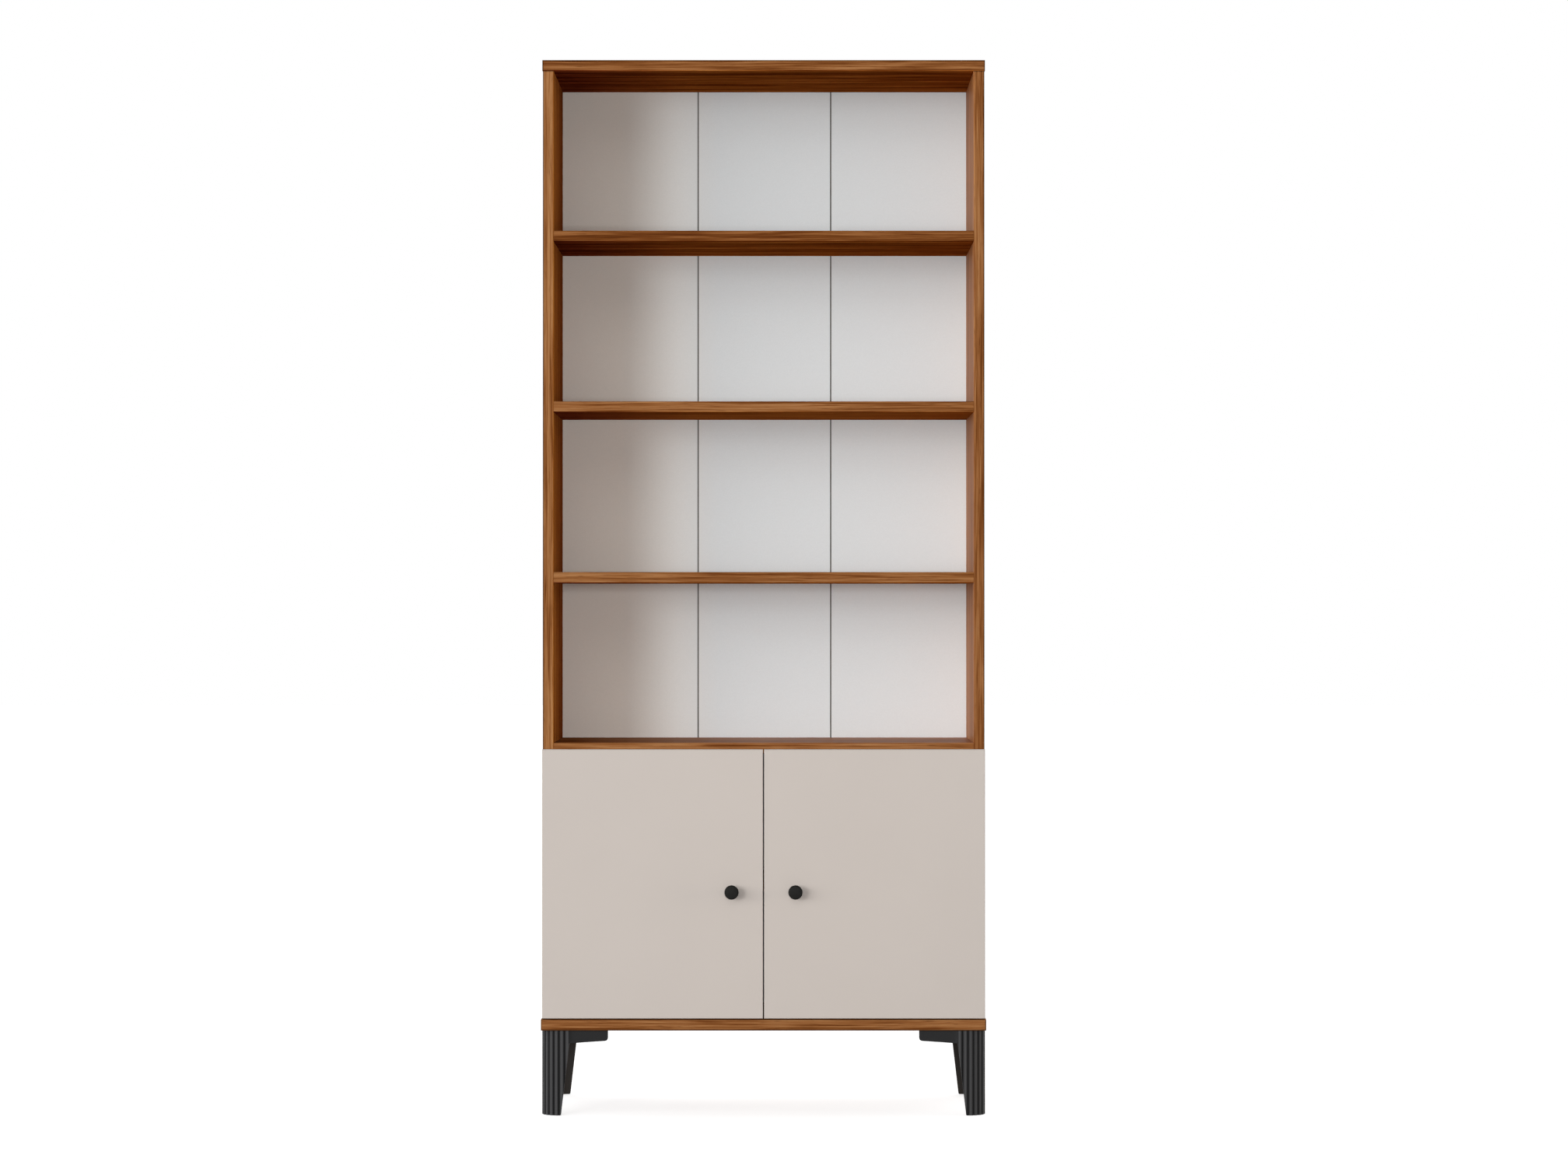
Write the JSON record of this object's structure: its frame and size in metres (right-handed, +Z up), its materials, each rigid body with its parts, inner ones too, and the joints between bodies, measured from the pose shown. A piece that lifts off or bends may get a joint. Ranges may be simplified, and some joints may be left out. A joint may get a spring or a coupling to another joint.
{
  "type": "bookcase with cabinet doors",
  "caption": "Tall walnut-look bookcase with open shelves above a cupboard with paired light doors, round knobs, concealed hinges and reeded corner legs.",
  "frame": {"origin": "centre of the footprint of the whole object, on the floor", "axes": "+Z up, -Y towards the doors and knobs, +X to the right as seen from the front"},
  "size_m": [0.754, 0.3468, 1.79],
  "materials": {
    "walnut_board": "satin melamine",
    "taupe_board": "matte melamine",
    "white_hardboard": "matte paint",
    "joint_tape": "matte",
    "black_plastic": "satin",
    "knob_black": "satin",
    "nickel_steel": "nickel plated",
    "felt": "felt"
  },
  "bodies": {
    "carcass": {"top_panel": "walnut_board", "bottom_panel": "walnut_board", "cabinet_top": "walnut_board", "lower_shelf": "walnut_board", "middle_shelf": "walnut_board", "upper_shelf": "walnut_board", "cabinet_shelf": "walnut_board", "left_side_panel": "walnut_board", "right_side_panel": "walnut_board", "left_back_panel": "white_hardboard", "center_back_panel": "white_hardboard", "right_back_panel": "white_hardboard", "back_joint_tapes": "joint_tape", "shelf_pins": "nickel_steel", "front_left_leg": "black_plastic", "front_right_leg": "black_plastic", "rear_right_leg": "black_plastic", "rear_left_leg": "black_plastic", "left_lower_hinge_plate": "nickel_steel", "left_lower_hinge_arm": "nickel_steel", "left_upper_hinge_plate": "nickel_steel", "left_upper_hinge_arm": "nickel_steel", "right_lower_hinge_plate": "nickel_steel", "right_lower_hinge_arm": "nickel_steel", "right_upper_hinge_plate": "nickel_steel", "right_upper_hinge_arm": "nickel_steel"},
    "left_hinge_links": {"left_lower_hinge_link": "nickel_steel", "left_upper_hinge_link": "nickel_steel"},
    "left_guide_links": {"left_lower_guide_link": "nickel_steel", "left_upper_guide_link": "nickel_steel"},
    "left_door": {"left_door": "taupe_board", "left_knob": "knob_black", "left_door_bumpers": "felt", "left_hinge_cups": "nickel_steel"},
    "right_hinge_links": {"right_lower_hinge_link": "nickel_steel", "right_upper_hinge_link": "nickel_steel"},
    "right_guide_links": {"right_lower_guide_link": "nickel_steel", "right_upper_guide_link": "nickel_steel"},
    "right_door": {"right_door": "taupe_board", "right_knob": "knob_black", "right_door_bumpers": "felt", "right_hinge_cups": "nickel_steel"}
  },
  "joints": [
    {"name": "left_link_turn", "type": "hinge", "parent": "carcass", "child": "left_hinge_links", "pos_m": [-0.3425, -0.1407, 0.39175], "axis": [0, 0, -1], "range_deg": [-12.4, 0]},
    {"name": "left_door_swing", "type": "hinge", "parent": "left_hinge_links", "child": "left_door", "pos_m": [-0.3662, -0.1406, 0.39175], "axis": [0, 0, -1], "range_deg": [0, 107.35]},
    {"name": "left_guide_turn", "type": "hinge", "parent": "carcass", "child": "left_guide_links", "pos_m": [-0.3426, -0.1329, 0.39175], "axis": [0, 0, -1], "range_deg": [-44.5, 0]},
    {"name": "right_link_turn", "type": "hinge", "parent": "carcass", "child": "right_hinge_links", "pos_m": [0.3425, -0.1407, 0.39175], "axis": [0, 0, 1], "range_deg": [-12.4, 0]},
    {"name": "right_door_swing", "type": "hinge", "parent": "right_hinge_links", "child": "right_door", "pos_m": [0.3662, -0.1406, 0.39175], "axis": [0, 0, 1], "range_deg": [0, 107.35]},
    {"name": "right_guide_turn", "type": "hinge", "parent": "carcass", "child": "right_guide_links", "pos_m": [0.3426, -0.1329, 0.39175], "axis": [0, 0, 1], "range_deg": [-44.5, 0]}
  ],
  "couplings": [
    {"joint": "left_link_turn", "follows": "left_door_swing", "ratio": -0.11504},
    {"joint": "left_guide_turn", "follows": "left_door_swing", "ratio": -0.41416},
    {"joint": "right_link_turn", "follows": "right_door_swing", "ratio": -0.11504},
    {"joint": "right_guide_turn", "follows": "right_door_swing", "ratio": -0.41416}
  ]
}
